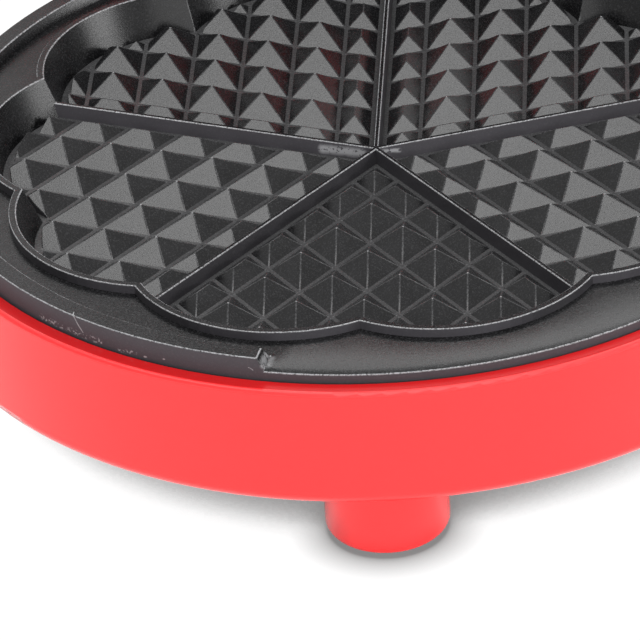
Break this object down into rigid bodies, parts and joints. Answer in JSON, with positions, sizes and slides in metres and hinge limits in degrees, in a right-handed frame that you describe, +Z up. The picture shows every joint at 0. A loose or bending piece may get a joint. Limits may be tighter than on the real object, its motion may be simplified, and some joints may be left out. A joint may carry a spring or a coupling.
{
  "type": "waffle maker",
  "caption": "round countertop waffle maker with flower-shaped non-stick plates, hinged lid, front handle, small round feet and inner heating parts",
  "frame": {"origin": "centre of the bounding box's bottom face, on the table under the feet, lid open", "axes": "+X to the right seen from the front, +Y from the front to the hinge, +Z up"},
  "size_m": [0.2, 0.3066, 0.2964],
  "materials": {
    "red_enamel": "glossy red heat-resistant plastic",
    "non_stick": "cast aluminium under a dark grey non-stick coating",
    "tube_steel": "heat-dulled tube",
    "spring_steel": "bright spring steel",
    "reflector_sheet": "bright sheet",
    "screw_steel": "plated steel",
    "contact_brass": "plain brass",
    "ceramic_white": null,
    "thermostat_steel": "plain can",
    "fuse_sleeve": "woven glass sleeve",
    "pad_rubber": "matt black rubber",
    "black_plastic": "matt black plastic",
    "red_lens": "clear red plastic",
    "green_lens": "clear green plastic",
    "lamp_glass": "clear glass",
    "board_green": "laminate"
  },
  "bodies": {
    "base": {"base_housing": "red_enamel", "cord_gland": "black_plastic", "element_leads": "contact_brass", "foot_front": "red_enamel", "foot_left": "red_enamel", "foot_pads": "pad_rubber", "foot_rear": "red_enamel", "foot_right": "red_enamel", "foot_screws": "screw_steel", "fuse_clip": "spring_steel", "gland_nut": "black_plastic", "hinge_pins": "screw_steel", "lower_cooking_plate": "non_stick", "lower_element_beads": "ceramic_white", "lower_element_spades": "contact_brass", "lower_heat_reflector": "reflector_sheet", "lower_heating_element": "tube_steel", "lower_plate_screws": "screw_steel", "terminal_block": "ceramic_white", "thermal_fuse": "fuse_sleeve", "thermostat": "thermostat_steel", "thermostat_leads": "contact_brass"},
    "lid": {"handle_grip": "red_enamel", "handle_liner": "red_enamel", "handle_screws": "screw_steel", "lamp_board": "board_green", "lid_housing": "red_enamel", "liner_screws": "screw_steel", "power_lamp": "lamp_glass", "power_lens": "red_lens", "ready_lamp": "lamp_glass", "ready_lens": "green_lens", "upper_cooking_plate": "non_stick", "upper_element_beads": "ceramic_white", "upper_element_spades": "contact_brass", "upper_heat_reflector": "reflector_sheet", "upper_heating_element": "tube_steel", "upper_plate_screws": "screw_steel"}
  },
  "joints": [
    {"name": "lid_hinge", "type": "hinge", "parent": "base", "child": "lid", "pos_m": [0, 0.05968, 0.0466], "axis": [1, 0, 0], "range_deg": [0, 105]}
  ]
}
